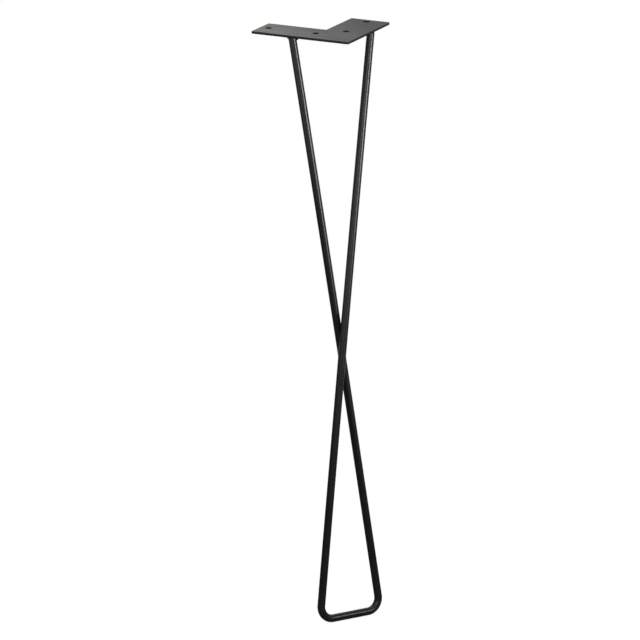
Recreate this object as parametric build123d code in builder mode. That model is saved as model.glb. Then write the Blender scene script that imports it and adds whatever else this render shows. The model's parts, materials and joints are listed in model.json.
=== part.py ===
from build123d import *

import os
from math import asin, atan2, degrees, sin, sqrt

# Hairpin table leg: an L-shaped screw plate and one bent bar whose two runs cross half way down.
# The origin is on the mounting face, where the hole lines of the two arms cross. The arms run
# along -X and +Y, +Z points up into the table top, and the leg leans out past the plate's corner.
# All sizes are in millimetres.

# Height, from the mounting face to the underside of the foot
leg_height = 711.0

# Screw plate
arm_length = 127.0        # from the outer corner to the end of an arm
arm_width = 51.0
plate_thickness = 3.0
corner_radius = 2.0       # corners of the outline
plate_edge_break = 0.4    # chamfer that deburring leaves on the cut edges and hole rims
hole_diameter = 8.0
hole_line = 26.5          # from the outer edge of an arm to the line of its two holes
hole_pitch = 62.0         # between the two holes of an arm
hole_to_end = 11.0        # from the outer hole's centre to the end of its arm

# Bent bar
rod_diameter = 9.6        # 3/8 in bar and its coat of paint
rod_from_corner = 74.0    # rod axis at the plate, from the outer corner along the arm
rod_overhang = 2.0        # how far the rod's flank stands out past the plate's outer edge
bend_radius = 16.0        # on the bar's centre line
foot_length = 86.0        # between the corners of the centre line, before bending
foot_splay = 100.0        # how far the foot stands out from below the rods' tops
crossing_gap = 0.4        # between the two runs where they pass each other
run_bow = 1.5             # how far each run bends towards the other one's top, half way down
run_lift = 1.0            # how far each run bends away from the other one there, to let it pass
straight_end = 40.0       # of each run, above and below the long arc of its bow

# Fillet welds
weld_leg = 3.0            # along the plate and along the rod
weld_sweep = 150.0        # how far the weld goes round the rod, in degrees, on its inner side
weld_bite = 0.3           # how far its root goes into the rod before it is cut there

# Places in plan
outer_corner = Vector(hole_line, -hole_line)
inner_corner = outer_corner + Vector(-arm_width, arm_width)
outer_hole = arm_length - hole_line - hole_to_end
inner_hole = outer_hole - hole_pitch
hole_places = [(-outer_hole, 0), (-inner_hole, 0), (0, inner_hole), (0, outer_hole)]

# The runs, from their tops at the plate's underside to the corners of the foot
underside = Plane.XY.offset(-plate_thickness)
rod_inset = rod_diameter / 2 - rod_overhang
left_top = outer_corner + Vector(-rod_from_corner, rod_inset, -plate_thickness)
right_top = outer_corner + Vector(-rod_inset, rod_from_corner, -plate_thickness)

across = Vector(1, 1).normalized()     # from the left rod's top to the right rod's top
outward = Vector(1, -1).normalized()   # the way the leg leans
half_top = (right_top - left_top).length / 2
half_foot = foot_length / 2
drop = leg_height - plate_thickness - rod_diameter / 2

# The foot is turned in plan, just enough for one bent run to pass in front of the other
pass_distance = rod_diameter + crossing_gap - 2 * run_lift
lean = sqrt(drop**2 + foot_splay**2) / drop
skew = atan2(pass_distance * lean, sqrt((2 * half_top) ** 2 - pass_distance**2))
foot_turn = degrees(skew + asin(sin(skew) * half_top / half_foot))
foot_middle = (left_top + right_top) * 0.5 + outward * foot_splay - Vector(0, 0, drop)
foot_along = across.rotate(Axis.Z, foot_turn)
foot_right = foot_middle + foot_along * half_foot
foot_left = foot_middle - foot_along * half_foot

# Each run has straight ends and a long arc between them, which rounds off a corner half way down
left_run = foot_right - left_top
right_run = foot_left - right_top
passing = left_run.cross(right_run).normalized()
half_run = left_run.length / 2
arc_reach = half_run - straight_end
to_corner = 1 / (1 - arc_reach / (2 * half_run))    # the corner lies that much further out than its arc
bow_radius = arc_reach * half_run / (to_corner * sqrt(run_bow**2 + run_lift**2))
left_bend = left_run.cross(passing).normalized() * run_bow + passing * run_lift
right_bend = passing.cross(right_run).normalized() * run_bow - passing * run_lift
left_middle = left_top + left_run * 0.5 + left_bend * to_corner
right_middle = right_top + right_run * 0.5 + right_bend * to_corner


def above(top, middle):
    """A point on the run's upper half, far enough above the plate's underside for a clean cut there."""
    return top + (top - middle).normalized() * (2 * rod_diameter)


with BuildPart() as mounting_plate:
    with BuildSketch(underside) as outline:
        with BuildLine():
            Polyline(
                outer_corner,
                outer_corner + Vector(0, arm_length),
                inner_corner + Vector(0, arm_length - arm_width),
                inner_corner,
                inner_corner - Vector(arm_length - arm_width, 0),
                outer_corner - Vector(arm_length, 0),
                close=True,
            )
        make_face()
        fillet(outline.vertices(), corner_radius)
    extrude(amount=plate_thickness)
    with Locations(*hole_places):
        Hole(hole_diameter / 2)
    rims = mounting_plate.faces().filter_by(Axis.Z).edges()
    chamfer(rims, plate_edge_break)
mounting_plate.part.label = "mounting_plate"


with BuildPart() as bent_rod:
    with BuildLine() as rod_path:
        FilletPolyline(
            above(left_top, left_middle),
            left_middle,
            foot_right,
            foot_left,
            right_middle,
            above(right_top, right_middle),
            radius=[bow_radius, bend_radius, bend_radius, bow_radius],
        )
    with BuildSketch(Plane(origin=rod_path.line @ 0, z_dir=rod_path.line % 0)):
        Circle(rod_diameter / 2)
    sweep()
    split(bisect_by=underside, keep=Keep.BOTTOM)
bent_rod.part.label = "bent_rod"


def weld_bead(top, middle, inner_side):
    """A fillet in the corner between a rod and the plate, with a rounded end on each side of the rod."""
    root_radius = rod_diameter / 2 - weld_bite
    start = rod_diameter / 2    # far enough up the rod for the slanting cut at the plate's underside
    depth = start + weld_leg + weld_bite
    with BuildPart() as bead:
        with Locations(Plane(origin=top, x_dir=inner_side, z_dir=middle - top).offset(-start)):
            Cone(
                root_radius + depth,
                root_radius,
                depth,
                arc_size=weld_sweep,
                rotation=(0, 0, -weld_sweep / 2),
                align=Align.NONE,
            )
            with PolarLocations(root_radius, 2, -weld_sweep / 2, weld_sweep, endpoint=True):
                Cone(depth, 0, depth, align=(Align.CENTER, Align.CENTER, Align.MIN))
        split(bisect_by=underside, keep=Keep.BOTTOM)
        add(bent_rod.part, mode=Mode.SUBTRACT)
    return bead.part


left_weld = weld_bead(left_top, left_middle, (0, 1, 0))
left_weld.label = "left_weld"
right_weld = weld_bead(right_top, right_middle, (-1, 0, 0))
right_weld.label = "right_weld"

os.makedirs("parts", exist_ok=True)
for piece in (mounting_plate.part, bent_rod.part, left_weld, right_weld):
    export_step(piece, f"parts/{piece.label}.step")
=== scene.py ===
import json
from math import asin, atan2, cos, pi, radians, sin, sqrt

import bmesh
import bpy
from mathutils import Matrix, Vector
from mathutils.geometry import delaunay_2d_cdt


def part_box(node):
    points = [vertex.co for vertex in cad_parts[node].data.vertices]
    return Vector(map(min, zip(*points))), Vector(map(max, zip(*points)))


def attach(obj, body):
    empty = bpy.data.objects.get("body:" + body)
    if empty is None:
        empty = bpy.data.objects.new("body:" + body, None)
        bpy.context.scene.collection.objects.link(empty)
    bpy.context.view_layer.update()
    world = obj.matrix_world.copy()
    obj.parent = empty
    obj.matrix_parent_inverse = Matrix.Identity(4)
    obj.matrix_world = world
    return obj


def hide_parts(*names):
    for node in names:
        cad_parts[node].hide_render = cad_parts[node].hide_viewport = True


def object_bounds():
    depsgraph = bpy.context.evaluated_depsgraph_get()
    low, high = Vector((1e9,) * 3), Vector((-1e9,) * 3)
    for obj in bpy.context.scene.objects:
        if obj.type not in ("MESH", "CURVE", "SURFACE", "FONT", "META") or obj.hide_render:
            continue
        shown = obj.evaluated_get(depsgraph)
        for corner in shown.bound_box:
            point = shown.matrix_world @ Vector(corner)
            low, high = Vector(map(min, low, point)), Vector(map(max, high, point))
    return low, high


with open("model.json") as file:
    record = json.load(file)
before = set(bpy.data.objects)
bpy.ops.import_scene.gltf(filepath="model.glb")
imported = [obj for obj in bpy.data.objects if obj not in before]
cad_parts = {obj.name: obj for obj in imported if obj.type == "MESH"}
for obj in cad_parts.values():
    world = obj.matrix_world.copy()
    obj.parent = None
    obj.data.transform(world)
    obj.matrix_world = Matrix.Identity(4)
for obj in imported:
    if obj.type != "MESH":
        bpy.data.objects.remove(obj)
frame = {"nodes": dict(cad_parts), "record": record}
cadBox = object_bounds()
scene = bpy.context.scene
scene.view_settings.view_transform = "Standard"
print("frame loaded:", ", ".join(sorted(frame["nodes"])))

millimetre = 0.001
white = (1, 1, 1, 1)


# Node helpers

def newNode(tree, kind, inputs=None, **settings):
    node = tree.nodes.new(kind)
    for name, value in settings.items():
        setattr(node, name, value)
    for name, value in (inputs or {}).items():
        node.inputs[name].default_value = value
    return node


def mapRange(tree, given, wanted):
    limits = {"From Min": given[0], "From Max": given[1], "To Min": wanted[0], "To Max": wanted[1]}
    return newNode(tree, "ShaderNodeMapRange", limits)


def wire(tree, *steps):
    for start, end in steps:
        tree.links.new(start, end)


def newGeometryTree(name, inputs):
    tree = bpy.data.node_groups.new(name, "GeometryNodeTree")
    tree.interface.new_socket("Geometry", in_out="INPUT", socket_type="NodeSocketGeometry")
    for label, kind in inputs:
        tree.interface.new_socket(label, in_out="INPUT", socket_type=kind)
    tree.interface.new_socket("Geometry", in_out="OUTPUT", socket_type="NodeSocketGeometry")
    return tree, tree.nodes.new("NodeGroupInput"), tree.nodes.new("NodeGroupOutput")


def closeTree(tree, groupIn, groupOut, geometry):
    realize = newNode(tree, "GeometryNodeRealizeInstances")
    finish = newNode(tree, "GeometryNodeSetMaterial")
    wire(tree,
         (geometry, realize.inputs["Geometry"]),
         (realize.outputs["Geometry"], finish.inputs["Geometry"]),
         (groupIn.outputs["Finish"], finish.inputs["Material"]),
         (finish.outputs["Geometry"], groupOut.inputs["Geometry"]))


def bakeTree(piece, tree, settings):
    modifier = piece.modifiers.new(tree.name, "NODES")
    modifier.node_group = tree
    for item in tree.interface.items_tree:
        if item.in_out == "INPUT" and item.name in settings:
            modifier[item.identifier] = settings[item.name]    # by identifier, before the first evaluation
    graph = bpy.context.evaluated_depsgraph_get()
    mesh = bpy.data.meshes.new_from_object(piece.evaluated_get(graph))
    piece.modifiers.clear()
    piece.data = mesh
    return piece


def newPiece(name, mesh):
    piece = bpy.data.objects.new(name, mesh)
    scene.collection.objects.link(piece)
    return piece


def standFor(piece, node):
    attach(piece, "root")
    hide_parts(node)
    print(f"{piece.name}: {len(piece.data.polygons)} faces, stands for {node}")


# Satin black powder coat: near black, with a fine orange peel and a little patchiness in the gloss

coat = {
    "dark": (0.0034, 0.0034, 0.0035, 1),
    "light": (0.0058, 0.0058, 0.0060, 1),
    "specular": 0.5,
    "patchScale": 22,          # patches of a few centimetres
    "grainScale": 1500,        # powder grain
    "grainShare": 0.35,        # how much the grain adds to the patches
    "toneRange": (0.3, 1.0),   # patches and grain together, from dark to light
    "patchRange": (0.3, 0.7),  # patches alone, from smooth to rough
    "peelScale": 620,          # orange peel of about 2 mm
    "peelHeight": 0.00005,
}
finishes = {
    "platePaint": {"roughness": (0.525, 0.605), "peel": 0.35},
    "barPaint": {"roughness": (0.32, 0.38), "peel": 0.30},
    "weldPaint": {"roughness": (0.38, 0.46), "peel": 0.30},
}

# The plate's top is painted lighter and warmer towards one end, a painted sheen, and made smoother there,
# with streaks along that arm
paintedSheen = {
    "tone": (0.027, 0.0268, 0.0195, 1),
    "sheen": (1.0, 0.99, 0.72, 1),    # the painted sheen's warm tint on the gloss
    "smoother": 0.25,          # taken off the roughness
    "streaks": 0.55,           # how much of the painted sheen a streak may leave out
    "streakScale": (14, 150, 14),
    "streakRange": (0.3, 0.7),
    "topRange": (0.6, 0.95),   # how far a face looks up, from no painted sheen to full painted sheen
}


def powderCoat(name, roughness, peel):
    material = bpy.data.materials.new(name)
    material.use_nodes = True
    tree = material.node_tree
    shader = tree.nodes["Principled BSDF"]
    shader.inputs["Specular IOR Level"].default_value = coat["specular"]
    place = newNode(tree, "ShaderNodeTexCoord")
    patches = newNode(tree, "ShaderNodeTexNoise",
                      {"Scale": coat["patchScale"], "Detail": 3, "Roughness": 0.55})
    grain = newNode(tree, "ShaderNodeTexNoise", {"Scale": coat["grainScale"], "Detail": 1})
    orangePeel = newNode(tree, "ShaderNodeTexNoise",
                         {"Scale": coat["peelScale"], "Detail": 2, "Roughness": 0.4})
    tone = newNode(tree, "ShaderNodeMix", data_type="RGBA")
    tone.inputs["A"].default_value = coat["dark"]
    tone.inputs["B"].default_value = coat["light"]
    speckle = newNode(tree, "ShaderNodeMath", {1: coat["grainShare"]}, operation="MULTIPLY")
    share = newNode(tree, "ShaderNodeMath", operation="ADD", use_clamp=True)
    toneRange = mapRange(tree, coat["toneRange"], (0.0, 1.0))
    roughRange = mapRange(tree, coat["patchRange"], roughness)
    bump = newNode(tree, "ShaderNodeBump", {"Strength": peel, "Distance": coat["peelHeight"]})
    for texture in (patches, grain, orangePeel):
        wire(tree, (place.outputs["Object"], texture.inputs["Vector"]))
    wire(tree,
         (grain.outputs["Fac"], speckle.inputs[0]),
         (patches.outputs["Fac"], share.inputs[0]),
         (speckle.outputs[0], share.inputs[1]),
         (share.outputs[0], toneRange.inputs["Value"]),
         (toneRange.outputs["Result"], tone.inputs["Factor"]),
         (tone.outputs["Result"], shader.inputs["Base Color"]),
         (patches.outputs["Fac"], roughRange.inputs["Value"]),
         (roughRange.outputs["Result"], shader.inputs["Roughness"]),
         (orangePeel.outputs["Fac"], bump.inputs["Height"]),
         (bump.outputs["Normal"], shader.inputs["Normal"]))
    return material


def paintPlateSheen(material, low, high):
    # Painted sheen: a lighter, warmer base colour and a warm tint on the gloss, only on faces that look up,
    # fading from the left arm's end; the roughness is lowered there too
    tree = material.node_tree
    shader = tree.nodes["Principled BSDF"]
    colour = shader.inputs["Base Color"].links[0].from_socket
    roughness = shader.inputs["Roughness"].links[0].from_socket
    place = newNode(tree, "ShaderNodeTexCoord")
    along = newNode(tree, "ShaderNodeVectorMath", operation="DOT_PRODUCT")
    along.inputs[1].default_value = (1, 1, 0)    # from the left arm's end to the right arm's
    fade = mapRange(tree, (low, high), (1.0, 0.0))
    stretch = newNode(tree, "ShaderNodeMapping", {"Scale": paintedSheen["streakScale"]})
    streaks = newNode(tree, "ShaderNodeTexNoise", {"Scale": 1.0, "Detail": 3, "Roughness": 0.6})
    streakRange = mapRange(tree, paintedSheen["streakRange"], (1 - paintedSheen["streaks"], 1.0))
    facing = newNode(tree, "ShaderNodeSeparateXYZ")
    topOnly = mapRange(tree, paintedSheen["topRange"], (0.0, 1.0))
    fadeTop = newNode(tree, "ShaderNodeMath", operation="MULTIPLY")
    share = newNode(tree, "ShaderNodeMath", operation="MULTIPLY")
    tone = newNode(tree, "ShaderNodeMix", data_type="RGBA")
    tone.inputs["B"].default_value = paintedSheen["tone"]
    tint = newNode(tree, "ShaderNodeMix", data_type="RGBA")
    tint.inputs["A"].default_value = white
    tint.inputs["B"].default_value = paintedSheen["sheen"]
    smoother = newNode(tree, "ShaderNodeMath", {1: -paintedSheen["smoother"]}, operation="MULTIPLY_ADD")
    wire(tree,
         (place.outputs["Object"], along.inputs[0]),
         (along.outputs["Value"], fade.inputs["Value"]),
         (place.outputs["Object"], stretch.inputs["Vector"]),
         (stretch.outputs["Vector"], streaks.inputs["Vector"]),
         (streaks.outputs["Fac"], streakRange.inputs["Value"]),
         (place.outputs["Normal"], facing.inputs["Vector"]),
         (facing.outputs["Z"], topOnly.inputs["Value"]),
         (fade.outputs["Result"], fadeTop.inputs[0]),
         (topOnly.outputs["Result"], fadeTop.inputs[1]),
         (fadeTop.outputs[0], share.inputs[0]),
         (streakRange.outputs["Result"], share.inputs[1]),
         (share.outputs[0], tone.inputs["Factor"]),
         (colour, tone.inputs["A"]),
         (tone.outputs["Result"], shader.inputs["Base Color"]),
         (share.outputs[0], tint.inputs["Factor"]),
         (tint.outputs["Result"], shader.inputs["Specular Tint"]),
         (share.outputs[0], smoother.inputs[0]),
         (roughness, smoother.inputs[2]),
         (smoother.outputs[0], shader.inputs["Roughness"]))


plateLow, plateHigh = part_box("mounting_plate")
plateTop, plateUnder = plateHigh.z, plateLow.z
platePaint, barPaint, weldPaint = [powderCoat(name, **finish) for name, finish in finishes.items()]
# the plate's top gets a painted sheen, painted lighter and warmer towards the left arm's end
paintPlateSheen(platePaint, plateLow.x, plateHigh.y)
print("powder coat ready")


# Screw plate: the outline, the rounded rims and the hole walls are loops of points, level by level

plate = {
    "armWidth": 0.051,
    "cornerRadius": 0.002,
    "edgeRound": 0.0004,
    "edgeSteps": 4,
    "cornerSteps": 10,
    "holeSteps": 56,
}


def plateOutline(inset):
    left, right, near, far = plateLow.x, plateHigh.x, plateLow.y, plateHigh.y
    innerX, innerY = right - plate["armWidth"], near + plate["armWidth"]
    corners = [(right, near, 1), (right, far, 1), (innerX, far, 1),
               (innerX, innerY, -1), (left, innerY, 1), (left, near, 1)]    # -1 where the L bends inwards
    points = []
    for index, (x, y, turn) in enumerate(corners):
        here = Vector((x, y))
        toLast = (Vector(corners[index - 1][:2]) - here).normalized()
        toNext = (Vector(corners[(index + 1) % len(corners)][:2]) - here).normalized()
        centre = here + (toLast + toNext) * plate["cornerRadius"]
        radius = plate["cornerRadius"] - turn * inset
        for step in range(plate["cornerSteps"] + 1):
            angle = pi / 2 * step / plate["cornerSteps"]
            points.append(centre - radius * (toNext * cos(angle) + toLast * sin(angle)))
    return points


def plateHoles():
    holes = []
    for mount in frame["record"]["mounts"]:
        sizes = mount["dims"]
        if mount["kind"] != "bolt_pattern":
            continue
        spacing = Vector((sizes.get("spacing_x_mm", 0), sizes.get("spacing_y_mm", 0))) * millimetre
        for side in (-1, 1):
            centre = Vector(mount["pos_m"][:2]) + spacing / 2 * side
            holes.append((centre, sizes["hole_r_mm"] * millimetre))
    return holes


def holeRing(centre, radius):
    turns = [2 * pi * step / plate["holeSteps"] for step in range(plate["holeSteps"])]
    return [centre + Vector((cos(turn), -sin(turn))) * radius for turn in turns]


def rimLevels():
    levels = []
    for side, face in ((-1, plateUnder), (1, plateTop)):
        level = []
        for step in range(plate["edgeSteps"] + 1):
            angle = pi / 2 * step / plate["edgeSteps"]
            inset, depth = plate["edgeRound"] * (1 - sin(angle)), plate["edgeRound"] * (1 - cos(angle))
            level.append((inset, face - side * depth))
        levels += level if side < 0 else level[::-1]
    return levels


def addWall(bm, lower, upper):
    for i in range(len(lower)):
        j = (i + 1) % len(lower)
        bm.faces.new((lower[i], lower[j], upper[j], upper[i])).smooth = True


def addFlat(bm, loops, holes, up):
    verts = [vert for loop in loops for vert in loop]
    edges, start = [], 0
    for loop in loops:
        count = len(loop)
        edges += [(start + i, start + (i + 1) % count) for i in range(count)]
        start += count
    insideOutline = 1    # asks for all triangles inside the outline, also across the holes
    samePlace = 1e-9     # points nearer than this are one
    flat = delaunay_2d_cdt([vert.co.xy for vert in verts], edges, [], insideOutline, samePlace)
    triangles, sources = flat[2], flat[3]
    for triangle in triangles:
        corners = [verts[sources[i][0]] for i in triangle]
        middle = sum((vert.co.xy for vert in corners), Vector((0, 0))) / len(corners)
        if any((middle - centre).length < radius + plate["edgeRound"] for centre, radius in holes):
            continue    # it lies across a hole
        face = bm.faces.new(corners if up else corners[::-1])
        for edge in face.edges:
            edge.smooth = len(edge.link_faces) > 1 and all(not near.smooth for near in edge.link_faces)


def buildPlate():
    holes = plateHoles()
    bm = bmesh.new()
    rings = []
    for inset, z in rimLevels():
        loops = [plateOutline(inset)] + [holeRing(centre, radius + inset) for centre, radius in holes]
        rings.append([[bm.verts.new((point.x, point.y, z)) for point in loop] for loop in loops])
    for lower, upper in zip(rings, rings[1:]):
        for lowerLoop, upperLoop in zip(lower, upper):
            addWall(bm, lowerLoop, upperLoop)
    addFlat(bm, rings[0], holes, up=False)
    addFlat(bm, rings[-1], holes, up=True)
    bmesh.ops.recalc_face_normals(bm, faces=bm.faces)
    mesh = bpy.data.meshes.new("mountingPlate")
    bm.to_mesh(mesh)
    bm.free()
    mesh.materials.append(platePaint)
    return newPiece("mountingPlate", mesh)


standFor(buildPlate(), "mounting_plate")


# Bent bar: a path of six points, rounded and swept by Geometry Nodes, and cut off at the plate

bar = {
    "diameter": 0.0096,
    "fromCorner": 0.074,       # rod axis at the plate, from the outer corner along the arm
    "overhang": 0.002,         # rod flank past the plate's outer edge
    "bendRadius": 0.016,
    "footLength": 0.086,
    "footSplay": 0.100,
    "crossingGap": 0.0004,
    "runBow": 0.0015,          # each run bends towards the other one's top, half way down
    "runLift": 0.001,          # and away from the other one there, to let it pass
    "straightEnd": 0.040,      # of each run, above and below the long arc of its bow
    "bendSteps": 28,
    "sides": 64,
}


def barCorners():
    inset = bar["diameter"] / 2 - bar["overhang"]
    leftTop = Vector((plateHigh.x - bar["fromCorner"], plateLow.y + inset, plateUnder))
    rightTop = Vector((plateHigh.x - inset, plateLow.y + bar["fromCorner"], plateUnder))
    span = rightTop - leftTop
    outward = Vector((1, -1, 0)).normalized()
    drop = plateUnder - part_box("bent_rod")[0].z - bar["diameter"] / 2
    passDistance = bar["diameter"] + bar["crossingGap"] - 2 * bar["runLift"]
    lean = sqrt(drop**2 + bar["footSplay"]**2) / drop
    skew = atan2(passDistance * lean, sqrt(span.length**2 - passDistance**2))
    turn = skew + asin(sin(skew) * span.length / bar["footLength"])    # so that one run passes the other
    middle = (leftTop + rightTop) / 2 + outward * bar["footSplay"] - Vector((0, 0, drop))
    along = Matrix.Rotation(turn, 3, "Z") @ span.normalized() * (bar["footLength"] / 2)
    footRight, footLeft = middle + along, middle - along
    leftRun, rightRun = footRight - leftTop, footLeft - rightTop
    passing = leftRun.cross(rightRun).normalized()
    halfRun = leftRun.length / 2
    arcReach = halfRun - bar["straightEnd"]
    toCorner = 1 / (1 - arcReach / (2 * halfRun))    # the corner lies that much further out than its arc
    leftBend = leftRun.cross(passing).normalized() * bar["runBow"] + passing * bar["runLift"]
    rightBend = passing.cross(rightRun).normalized() * bar["runBow"] - passing * bar["runLift"]
    leftMiddle = leftTop + leftRun / 2 + leftBend * toCorner
    rightMiddle = rightTop + rightRun / 2 + rightBend * toCorner
    bowRadius = arcReach * halfRun / (leftBend.length * toCorner)
    points = [leftTop, leftMiddle, footRight, footLeft, rightMiddle, rightTop]
    radii = [0, bowRadius, bar["bendRadius"], bar["bendRadius"], bowRadius, 0]
    return points, radii


def barTree():
    tree, groupIn, groupOut = newGeometryTree("barSweep", [
        ("Bar Radius", "NodeSocketFloat"),
        ("Bend Steps", "NodeSocketInt"),
        ("Sides", "NodeSocketInt"),
        ("Cut Height", "NodeSocketFloat"),
        ("Finish", "NodeSocketMaterial"),
    ])
    path = newNode(tree, "GeometryNodeMeshToCurve")
    bend = newNode(tree, "GeometryNodeFilletCurve", {"Limit Radius": True}, mode="POLY")
    bendRadius = newNode(tree, "GeometryNodeInputNamedAttribute", {"Name": "bendRadius"}, data_type="FLOAT")
    keep = newNode(tree, "GeometryNodeCaptureAttribute")
    keep.capture_items.new("VECTOR", "Heading")
    keep.capture_items.new("BOOLEAN", "End")
    heading = newNode(tree, "GeometryNodeInputTangent")
    ends = newNode(tree, "GeometryNodeCurveEndpointSelection")
    section = newNode(tree, "GeometryNodeCurvePrimitiveCircle")
    sweep = newNode(tree, "GeometryNodeCurveToMesh", {"Fill Caps": True})
    place = newNode(tree, "GeometryNodeInputPosition")
    placeParts = newNode(tree, "ShaderNodeSeparateXYZ")
    headingParts = newNode(tree, "ShaderNodeSeparateXYZ")
    above = newNode(tree, "ShaderNodeMath", operation="SUBTRACT")
    slide = newNode(tree, "ShaderNodeMath", operation="DIVIDE")
    shift = newNode(tree, "ShaderNodeVectorMath", operation="SCALE")
    cut = newNode(tree, "GeometryNodeSetPosition")
    wire(tree,
         (groupIn.outputs["Geometry"], path.inputs["Mesh"]),
         (path.outputs["Curve"], bend.inputs["Curve"]),
         (groupIn.outputs["Bend Steps"], bend.inputs["Count"]),
         (bendRadius.outputs["Attribute"], bend.inputs["Radius"]),
         (bend.outputs["Curve"], keep.inputs["Geometry"]),
         (heading.outputs["Tangent"], keep.inputs["Heading"]),
         (ends.outputs["Selection"], keep.inputs["End"]),
         (keep.outputs["Geometry"], sweep.inputs["Curve"]),
         (groupIn.outputs["Sides"], section.inputs["Resolution"]),
         (groupIn.outputs["Bar Radius"], section.inputs["Radius"]),
         (section.outputs["Curve"], sweep.inputs["Profile Curve"]),
         (place.outputs["Position"], placeParts.inputs["Vector"]),
         (keep.outputs["Heading"], headingParts.inputs["Vector"]),
         (groupIn.outputs["Cut Height"], above.inputs[0]),
         (placeParts.outputs["Z"], above.inputs[1]),
         (above.outputs[0], slide.inputs[0]),
         (headingParts.outputs["Z"], slide.inputs[1]),
         (keep.outputs["Heading"], shift.inputs[0]),
         (slide.outputs[0], shift.inputs["Scale"]),
         (sweep.outputs["Mesh"], cut.inputs["Geometry"]),
         (keep.outputs["End"], cut.inputs["Selection"]),
         (shift.outputs["Vector"], cut.inputs["Offset"]))
    closeTree(tree, groupIn, groupOut, cut.outputs["Geometry"])
    return tree


def buildBar():
    mesh = bpy.data.meshes.new("bentBar")
    points, radii = barCorners()
    mesh.from_pydata(points, [(i, i + 1) for i in range(len(points) - 1)], [])
    mesh.attributes.new("bendRadius", "FLOAT", "POINT").data.foreach_set("value", radii)
    piece = bakeTree(newPiece("bentBar", mesh), barTree(), {
        "Bar Radius": bar["diameter"] / 2,
        "Bend Steps": bar["bendSteps"],
        "Sides": bar["sides"],
        "Cut Height": plateUnder,
        "Finish": barPaint,
    })
    for face in piece.data.polygons:
        face.use_smooth = len(face.vertices) == 4    # the two sawn ends stay flat
    return piece


standFor(buildBar(), "bent_rod")


# Fillet welds: a bead seated on the rod and the plate, with ripples from Geometry Nodes

weld = {
    "leg": 0.003,
    "sweep": 150,              # degrees round the rod, on its inner side
    "endTurn": 34,             # degrees that each rounded end takes
    "crown": 0.0004,
    "steps": 260,
    "faceSteps": 10,
    "ripplePitch": 0.0017,
    "rippleDepth": 0.00020,
    "rippleBow": 0.55,         # how far a ripple's ends lag behind its middle, in ripples
    "crestLevel": 0.7,         # the height in a ripple, from 0 to 1, that is level with the bead's face
    "wander": 0.5,
    "wanderScale": 0.8,
    "seeds": (3.0, 8.0),       # left weld, right weld
}


def weldTree():
    tree, groupIn, groupOut = newGeometryTree("weldRipples", [
        ("Ripple Pitch", "NodeSocketFloat"),
        ("Ripple Depth", "NodeSocketFloat"),
        ("Ripple Bow", "NodeSocketFloat"),
        ("Wander", "NodeSocketFloat"),
        ("Seed", "NodeSocketFloat"),
        ("Finish", "NodeSocketMaterial"),
    ])
    along = newNode(tree, "GeometryNodeInputNamedAttribute", {"Name": "along"}, data_type="FLOAT")
    across = newNode(tree, "GeometryNodeInputNamedAttribute", {"Name": "across"}, data_type="FLOAT")
    normal = newNode(tree, "GeometryNodeInputNormal")
    count = newNode(tree, "ShaderNodeMath", operation="DIVIDE")
    square = newNode(tree, "ShaderNodeMath", operation="MULTIPLY")
    bow = newNode(tree, "ShaderNodeMath", operation="MULTIPLY_ADD")
    drift = newNode(tree, "ShaderNodeTexNoise", {"Scale": weld["wanderScale"], "Detail": 1},
                    noise_dimensions="2D")
    driftPlace = newNode(tree, "ShaderNodeCombineXYZ")
    phase = newNode(tree, "ShaderNodeMath", operation="MULTIPLY_ADD")
    turn = newNode(tree, "ShaderNodeMath", {1: pi}, operation="MULTIPLY")
    wave = newNode(tree, "ShaderNodeMath", operation="SINE")
    crest = newNode(tree, "ShaderNodeMath", operation="ABSOLUTE")
    valley = newNode(tree, "ShaderNodeMath", {1: weld["crestLevel"]}, operation="SUBTRACT")
    fade = newNode(tree, "ShaderNodeMath", {0: 1.0}, operation="SUBTRACT")
    depth = newNode(tree, "ShaderNodeMath", operation="MULTIPLY")
    rise = newNode(tree, "ShaderNodeMath", operation="MULTIPLY")
    shift = newNode(tree, "ShaderNodeVectorMath", operation="SCALE")
    ripple = newNode(tree, "GeometryNodeSetPosition")
    wire(tree,
         (groupIn.outputs["Geometry"], ripple.inputs["Geometry"]),
         (along.outputs["Attribute"], count.inputs[0]),
         (groupIn.outputs["Ripple Pitch"], count.inputs[1]),
         (across.outputs["Attribute"], square.inputs[0]),
         (across.outputs["Attribute"], square.inputs[1]),
         (square.outputs[0], bow.inputs[0]),
         (groupIn.outputs["Ripple Bow"], bow.inputs[1]),
         (count.outputs[0], bow.inputs[2]),
         (count.outputs[0], driftPlace.inputs["X"]),
         (groupIn.outputs["Seed"], driftPlace.inputs["Y"]),
         (driftPlace.outputs["Vector"], drift.inputs["Vector"]),
         (drift.outputs["Fac"], phase.inputs[0]),
         (groupIn.outputs["Wander"], phase.inputs[1]),
         (bow.outputs[0], phase.inputs[2]),
         (phase.outputs[0], turn.inputs[0]),
         (turn.outputs[0], wave.inputs[0]),
         (wave.outputs[0], crest.inputs[0]),
         (crest.outputs[0], valley.inputs[0]),
         (square.outputs[0], fade.inputs[1]),
         (fade.outputs[0], depth.inputs[0]),
         (groupIn.outputs["Ripple Depth"], depth.inputs[1]),
         (depth.outputs[0], rise.inputs[0]),
         (valley.outputs[0], rise.inputs[1]),
         (normal.outputs["Normal"], shift.inputs[0]),
         (rise.outputs[0], shift.inputs["Scale"]),
         (shift.outputs["Vector"], ripple.inputs["Offset"]))
    closeTree(tree, groupIn, groupOut, ripple.outputs["Geometry"])
    return tree


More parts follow.
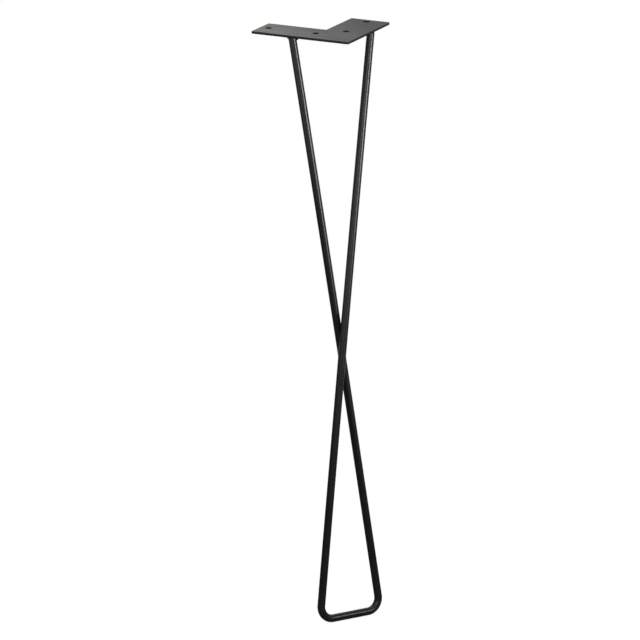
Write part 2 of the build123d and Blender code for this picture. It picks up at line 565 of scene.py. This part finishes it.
def weldBase(name, top, middle, innerSide):
    down = (middle - top).normalized()
    inner = (innerSide - down * innerSide.dot(down)).normalized()
    side = down.cross(inner)
    radius = bar["diameter"] / 2
    halfSweep, endTurn = weld["sweep"] / 2, weld["endTurn"]
    reach = halfSweep + endTurn
    bm = bmesh.new()
    alongLayer = bm.verts.layers.float.new("along")
    acrossLayer = bm.verts.layers.float.new("across")
    sections, travelled, last = [], 0, None
    for step in range(1, weld["steps"]):
        degreesRound = reach * (2 * step / weld["steps"] - 1)
        past = max(0, abs(degreesRound) - halfSweep) / endTurn
        leg = weld["leg"] * sqrt(1 - past**2)
        turn = radians(degreesRound)
        spoke = inner * cos(turn) + side * sin(turn)
        root = top + spoke * radius
        root += down * ((plateUnder - root.z) / down.z)
        away = Vector((spoke.x, spoke.y, 0)).normalized()
        plateToe, rodToe = root + away * leg, root + down * leg
        travelled += (plateToe - last).length if last else 0
        last = plateToe
        bulge = (away + down).normalized() * weld["crown"] * leg / weld["leg"]
        section = [root]
        for i in range(weld["faceSteps"] + 1):
            share = i / weld["faceSteps"]
            arch = 4 * share * (1 - share)    # 0 at the toes, 1 half way
            section.append(plateToe.lerp(rodToe, share) + bulge * arch)
        ring = [bm.verts.new(point) for point in section]
        for i, vert in enumerate(ring):
            vert[alongLayer] = travelled
            vert[acrossLayer] = 1 if i == 0 else 2 * (i - 1) / weld["faceSteps"] - 1
        sections.append(ring)
    for here, ahead in zip(sections, sections[1:]):
        for i in range(len(here)):
            j = (i + 1) % len(here)
            face = bm.faces.new((here[i], ahead[i], ahead[j], here[j]))
            face.smooth = 0 < i < len(here) - 1    # the bead's face, not its seats on the plate and rod
    bm.faces.new(sections[0])
    bm.faces.new(sections[-1][::-1])
    bmesh.ops.recalc_face_normals(bm, faces=bm.faces)
    for edge in bm.edges:
        edge.smooth = all(face.smooth for face in edge.link_faces)
    mesh = bpy.data.meshes.new(name)
    bm.to_mesh(mesh)
    bm.free()
    return newPiece(name, mesh)


def buildWelds():
    leftTop, leftMiddle, _, _, rightMiddle, rightTop = barCorners()[0]
    ripples = weldTree()
    runs = (("leftWeld", "left_weld", leftTop, leftMiddle, Vector((0, 1, 0))),
            ("rightWeld", "right_weld", rightTop, rightMiddle, Vector((-1, 0, 0))))
    for seed, (name, node, top, middle, innerSide) in zip(weld["seeds"], runs):
        bead = bakeTree(weldBase(name, top, middle, innerSide), ripples, {
            "Ripple Pitch": weld["ripplePitch"],
            "Ripple Depth": weld["rippleDepth"],
            "Ripple Bow": weld["rippleBow"],
            "Wander": weld["wander"],
            "Seed": seed,
            "Finish": weldPaint,
        })
        standFor(bead, node)


buildWelds()


# Stage: pale floor under the foot, white backdrop behind it, soft lamps

studio = {
    "floorSize": 1.6,
    "floorGlow": 0.924,        # what the lens sees besides the lit floor, so that it comes out white
    "floorPale": 0.11,         # the lit floor as the lens sees it, which takes the leg's shadow
    "floorBounce": 0.8,        # the floor as it lights the leg from below
    "ambient": 0.45,
    "backdropSide": (-0.38, 0.88, 0.28),    # the white backdrop stands behind the leg
    "backdropEdge": (0.40, 0.90),           # from where the studio is dim to where it is full white
    "floorEdge": (0.15, 0.60),              # the same on the floor, in metres
    "dim": 0.02,               # what the paint mirrors of the studio on the lens's side
}
lamps = [
    {"name": "sidePanel", "place": (1.21, -0.17, -0.055), "aim": (0.0, 0.0, -0.10), "size": (0.30, 0.10),
     "power": 2.4, "spread": 100},    # the long highlights of the rods, and the foot bar's
    {"name": "leftPanel", "place": (-0.37, -0.60, -0.13), "aim": (0.0, 0.0, -0.15), "size": (0.90, 0.38),
     "power": 1.0, "spread": 180},    # the rods' left flanks
    {"name": "frontPanel", "place": (0.60, -1.38, 0.13), "aim": (0.0, 0.0, -0.20), "size": (0.40, 0.40),
     "power": 3.0, "spread": 180},    # the rods' fronts
    {"name": "highPanel", "place": (0.66, -1.10, 0.45), "aim": (0.0, 0.0, 0.0), "size": (0.80, 0.25),
     "power": 2.4, "spread": 180},    # the plate's top as seen from behind
    {"name": "topPanel", "place": (0.0, 0.13, 1.50), "aim": (0.0, 0.0, 0.0), "size": (0.80, 0.80),
     "power": 10, "spread": 180},     # the plate's top as seen from above
]


def seenByLens(tree):
    path = newNode(tree, "ShaderNodeLightPath")
    seenOrMirrored = newNode(tree, "ShaderNodeMath", operation="MAXIMUM")
    seenAnyWay = newNode(tree, "ShaderNodeMath", operation="MAXIMUM")
    wire(tree,
         (path.outputs["Is Camera Ray"], seenOrMirrored.inputs[0]),
         (path.outputs["Is Glossy Ray"], seenOrMirrored.inputs[1]),
         (seenOrMirrored.outputs[0], seenAnyWay.inputs[0]),
         (path.outputs["Is Transmission Ray"], seenAnyWay.inputs[1]))
    return seenAnyWay.outputs[0]


def backdropGlow(tree, place, edge, full):
    path = newNode(tree, "ShaderNodeLightPath")
    facing = newNode(tree, "ShaderNodeVectorMath", operation="DOT_PRODUCT")
    facing.inputs[1].default_value = studio["backdropSide"]
    fade = mapRange(tree, edge, (studio["dim"] * full, full))
    glow = newNode(tree, "ShaderNodeMix", {"A": full}, data_type="FLOAT")
    wire(tree,
         (place, facing.inputs[0]),
         (facing.outputs["Value"], fade.inputs["Value"]),
         (path.outputs["Is Glossy Ray"], glow.inputs["Factor"]),
         (fade.outputs["Result"], glow.inputs["B"]))
    return glow.outputs["Result"]


def makeWorld():
    world = bpy.data.worlds.new("whiteStudio")
    scene.world = world
    world.use_nodes = True
    tree = world.node_tree
    fill = tree.nodes["Background"]
    fill.inputs["Color"].default_value = white
    fill.inputs["Strength"].default_value = studio["ambient"]
    backdrop = newNode(tree, "ShaderNodeBackground", {"Color": white})
    place = newNode(tree, "ShaderNodeTexCoord")
    strength = backdropGlow(tree, place.outputs["Generated"], studio["backdropEdge"], 1.0)
    mix = newNode(tree, "ShaderNodeMixShader")
    wire(tree,
         (strength, backdrop.inputs["Strength"]),
         (seenByLens(tree), mix.inputs[0]),
         (fill.outputs[0], mix.inputs[1]),
         (backdrop.outputs[0], mix.inputs[2]),
         (mix.outputs[0], tree.nodes["World Output"].inputs["Surface"]))


def makeFloor():
    half = studio["floorSize"] / 2
    height = cadBox[0].z
    corners = [(x * half, y * half, height) for x, y in ((-1, -1), (1, -1), (1, 1), (-1, 1))]
    mesh = bpy.data.meshes.new("floor")
    mesh.from_pydata(corners, [], [(0, 1, 2, 3)])
    floor = newPiece("floor", mesh)
    material = bpy.data.materials.new("paleFloor")
    material.use_nodes = True
    tree = material.node_tree
    tree.nodes.remove(tree.nodes["Principled BSDF"])
    lit = newNode(tree, "ShaderNodeBsdfDiffuse", {"Color": (studio["floorPale"],) * 3 + (1,)})
    pale = newNode(tree, "ShaderNodeBsdfDiffuse", {"Color": (studio["floorBounce"],) * 3 + (1,)})
    glow = newNode(tree, "ShaderNodeEmission")
    seen = newNode(tree, "ShaderNodeAddShader")
    top = newNode(tree, "ShaderNodeMixShader")
    clear = newNode(tree, "ShaderNodeBsdfTransparent")
    place = newNode(tree, "ShaderNodeTexCoord")
    level = newNode(tree, "ShaderNodeVectorMath", operation="SUBTRACT")
    level.inputs[1].default_value = (0, 0, height)
    strength = backdropGlow(tree, level.outputs["Vector"], studio["floorEdge"], studio["floorGlow"])
    facing = newNode(tree, "ShaderNodeNewGeometry")
    sides = newNode(tree, "ShaderNodeMixShader")    # from below, the floor is clear
    wire(tree,
         (place.outputs["Object"], level.inputs[0]),
         (strength, glow.inputs["Strength"]),
         (lit.outputs[0], seen.inputs[0]),
         (glow.outputs[0], seen.inputs[1]),
         (seenByLens(tree), top.inputs[0]),
         (pale.outputs[0], top.inputs[1]),
         (seen.outputs[0], top.inputs[2]),
         (facing.outputs["Backfacing"], sides.inputs[0]),
         (top.outputs[0], sides.inputs[1]),
         (clear.outputs[0], sides.inputs[2]),
         (sides.outputs[0], tree.nodes["Material Output"].inputs["Surface"]))
    mesh.materials.append(material)


def makeLamps():
    for lamp in lamps:
        light = bpy.data.lights.new(lamp["name"], "AREA")
        light.shape = "RECTANGLE"
        light.size, light.size_y = lamp["size"]
        light.energy, light.spread = lamp["power"], radians(lamp["spread"])
        holder = bpy.data.objects.new(lamp["name"], light)
        holder.location = lamp["place"]
        beam = Vector(lamp["aim"]) - Vector(lamp["place"])
        holder.rotation_euler = beam.to_track_quat("-Z", "Y").to_euler()
        scene.collection.objects.link(holder)


lens = {
    "azimuth": 23.518,         # degrees, as are pitch and roll
    "pitch": 16.362,
    "roll": 1.109,
    "aim": (-0.01906, 0.01002, -0.35881),
    "distance": 5.0,
    "focal": 230.22,           # millimetres, as is the sensor's width
    "sensor": 36.0,
}


def makeCamera():
    azimuth, pitch = radians(lens["azimuth"]), radians(lens["pitch"])
    back = Vector((sin(azimuth) * cos(pitch), -cos(azimuth) * cos(pitch), sin(pitch)))
    right = Vector((cos(azimuth), sin(azimuth), 0))
    up = back.cross(right)
    data = bpy.data.cameras.new("camera")
    data.lens, data.sensor_width = lens["focal"], lens["sensor"]
    camera = bpy.data.objects.new("camera", data)
    place = Vector(lens["aim"]) + back * lens["distance"]
    turned = Matrix((right, up, back)).transposed() @ Matrix.Rotation(radians(lens["roll"]), 3, "Z")
    camera.matrix_world = Matrix.Translation(place) @ turned.to_4x4()
    scene.collection.objects.link(camera)
    scene.camera = camera


makeWorld()
makeFloor()
makeLamps()
makeCamera()
print("stage, lamps and camera ready")
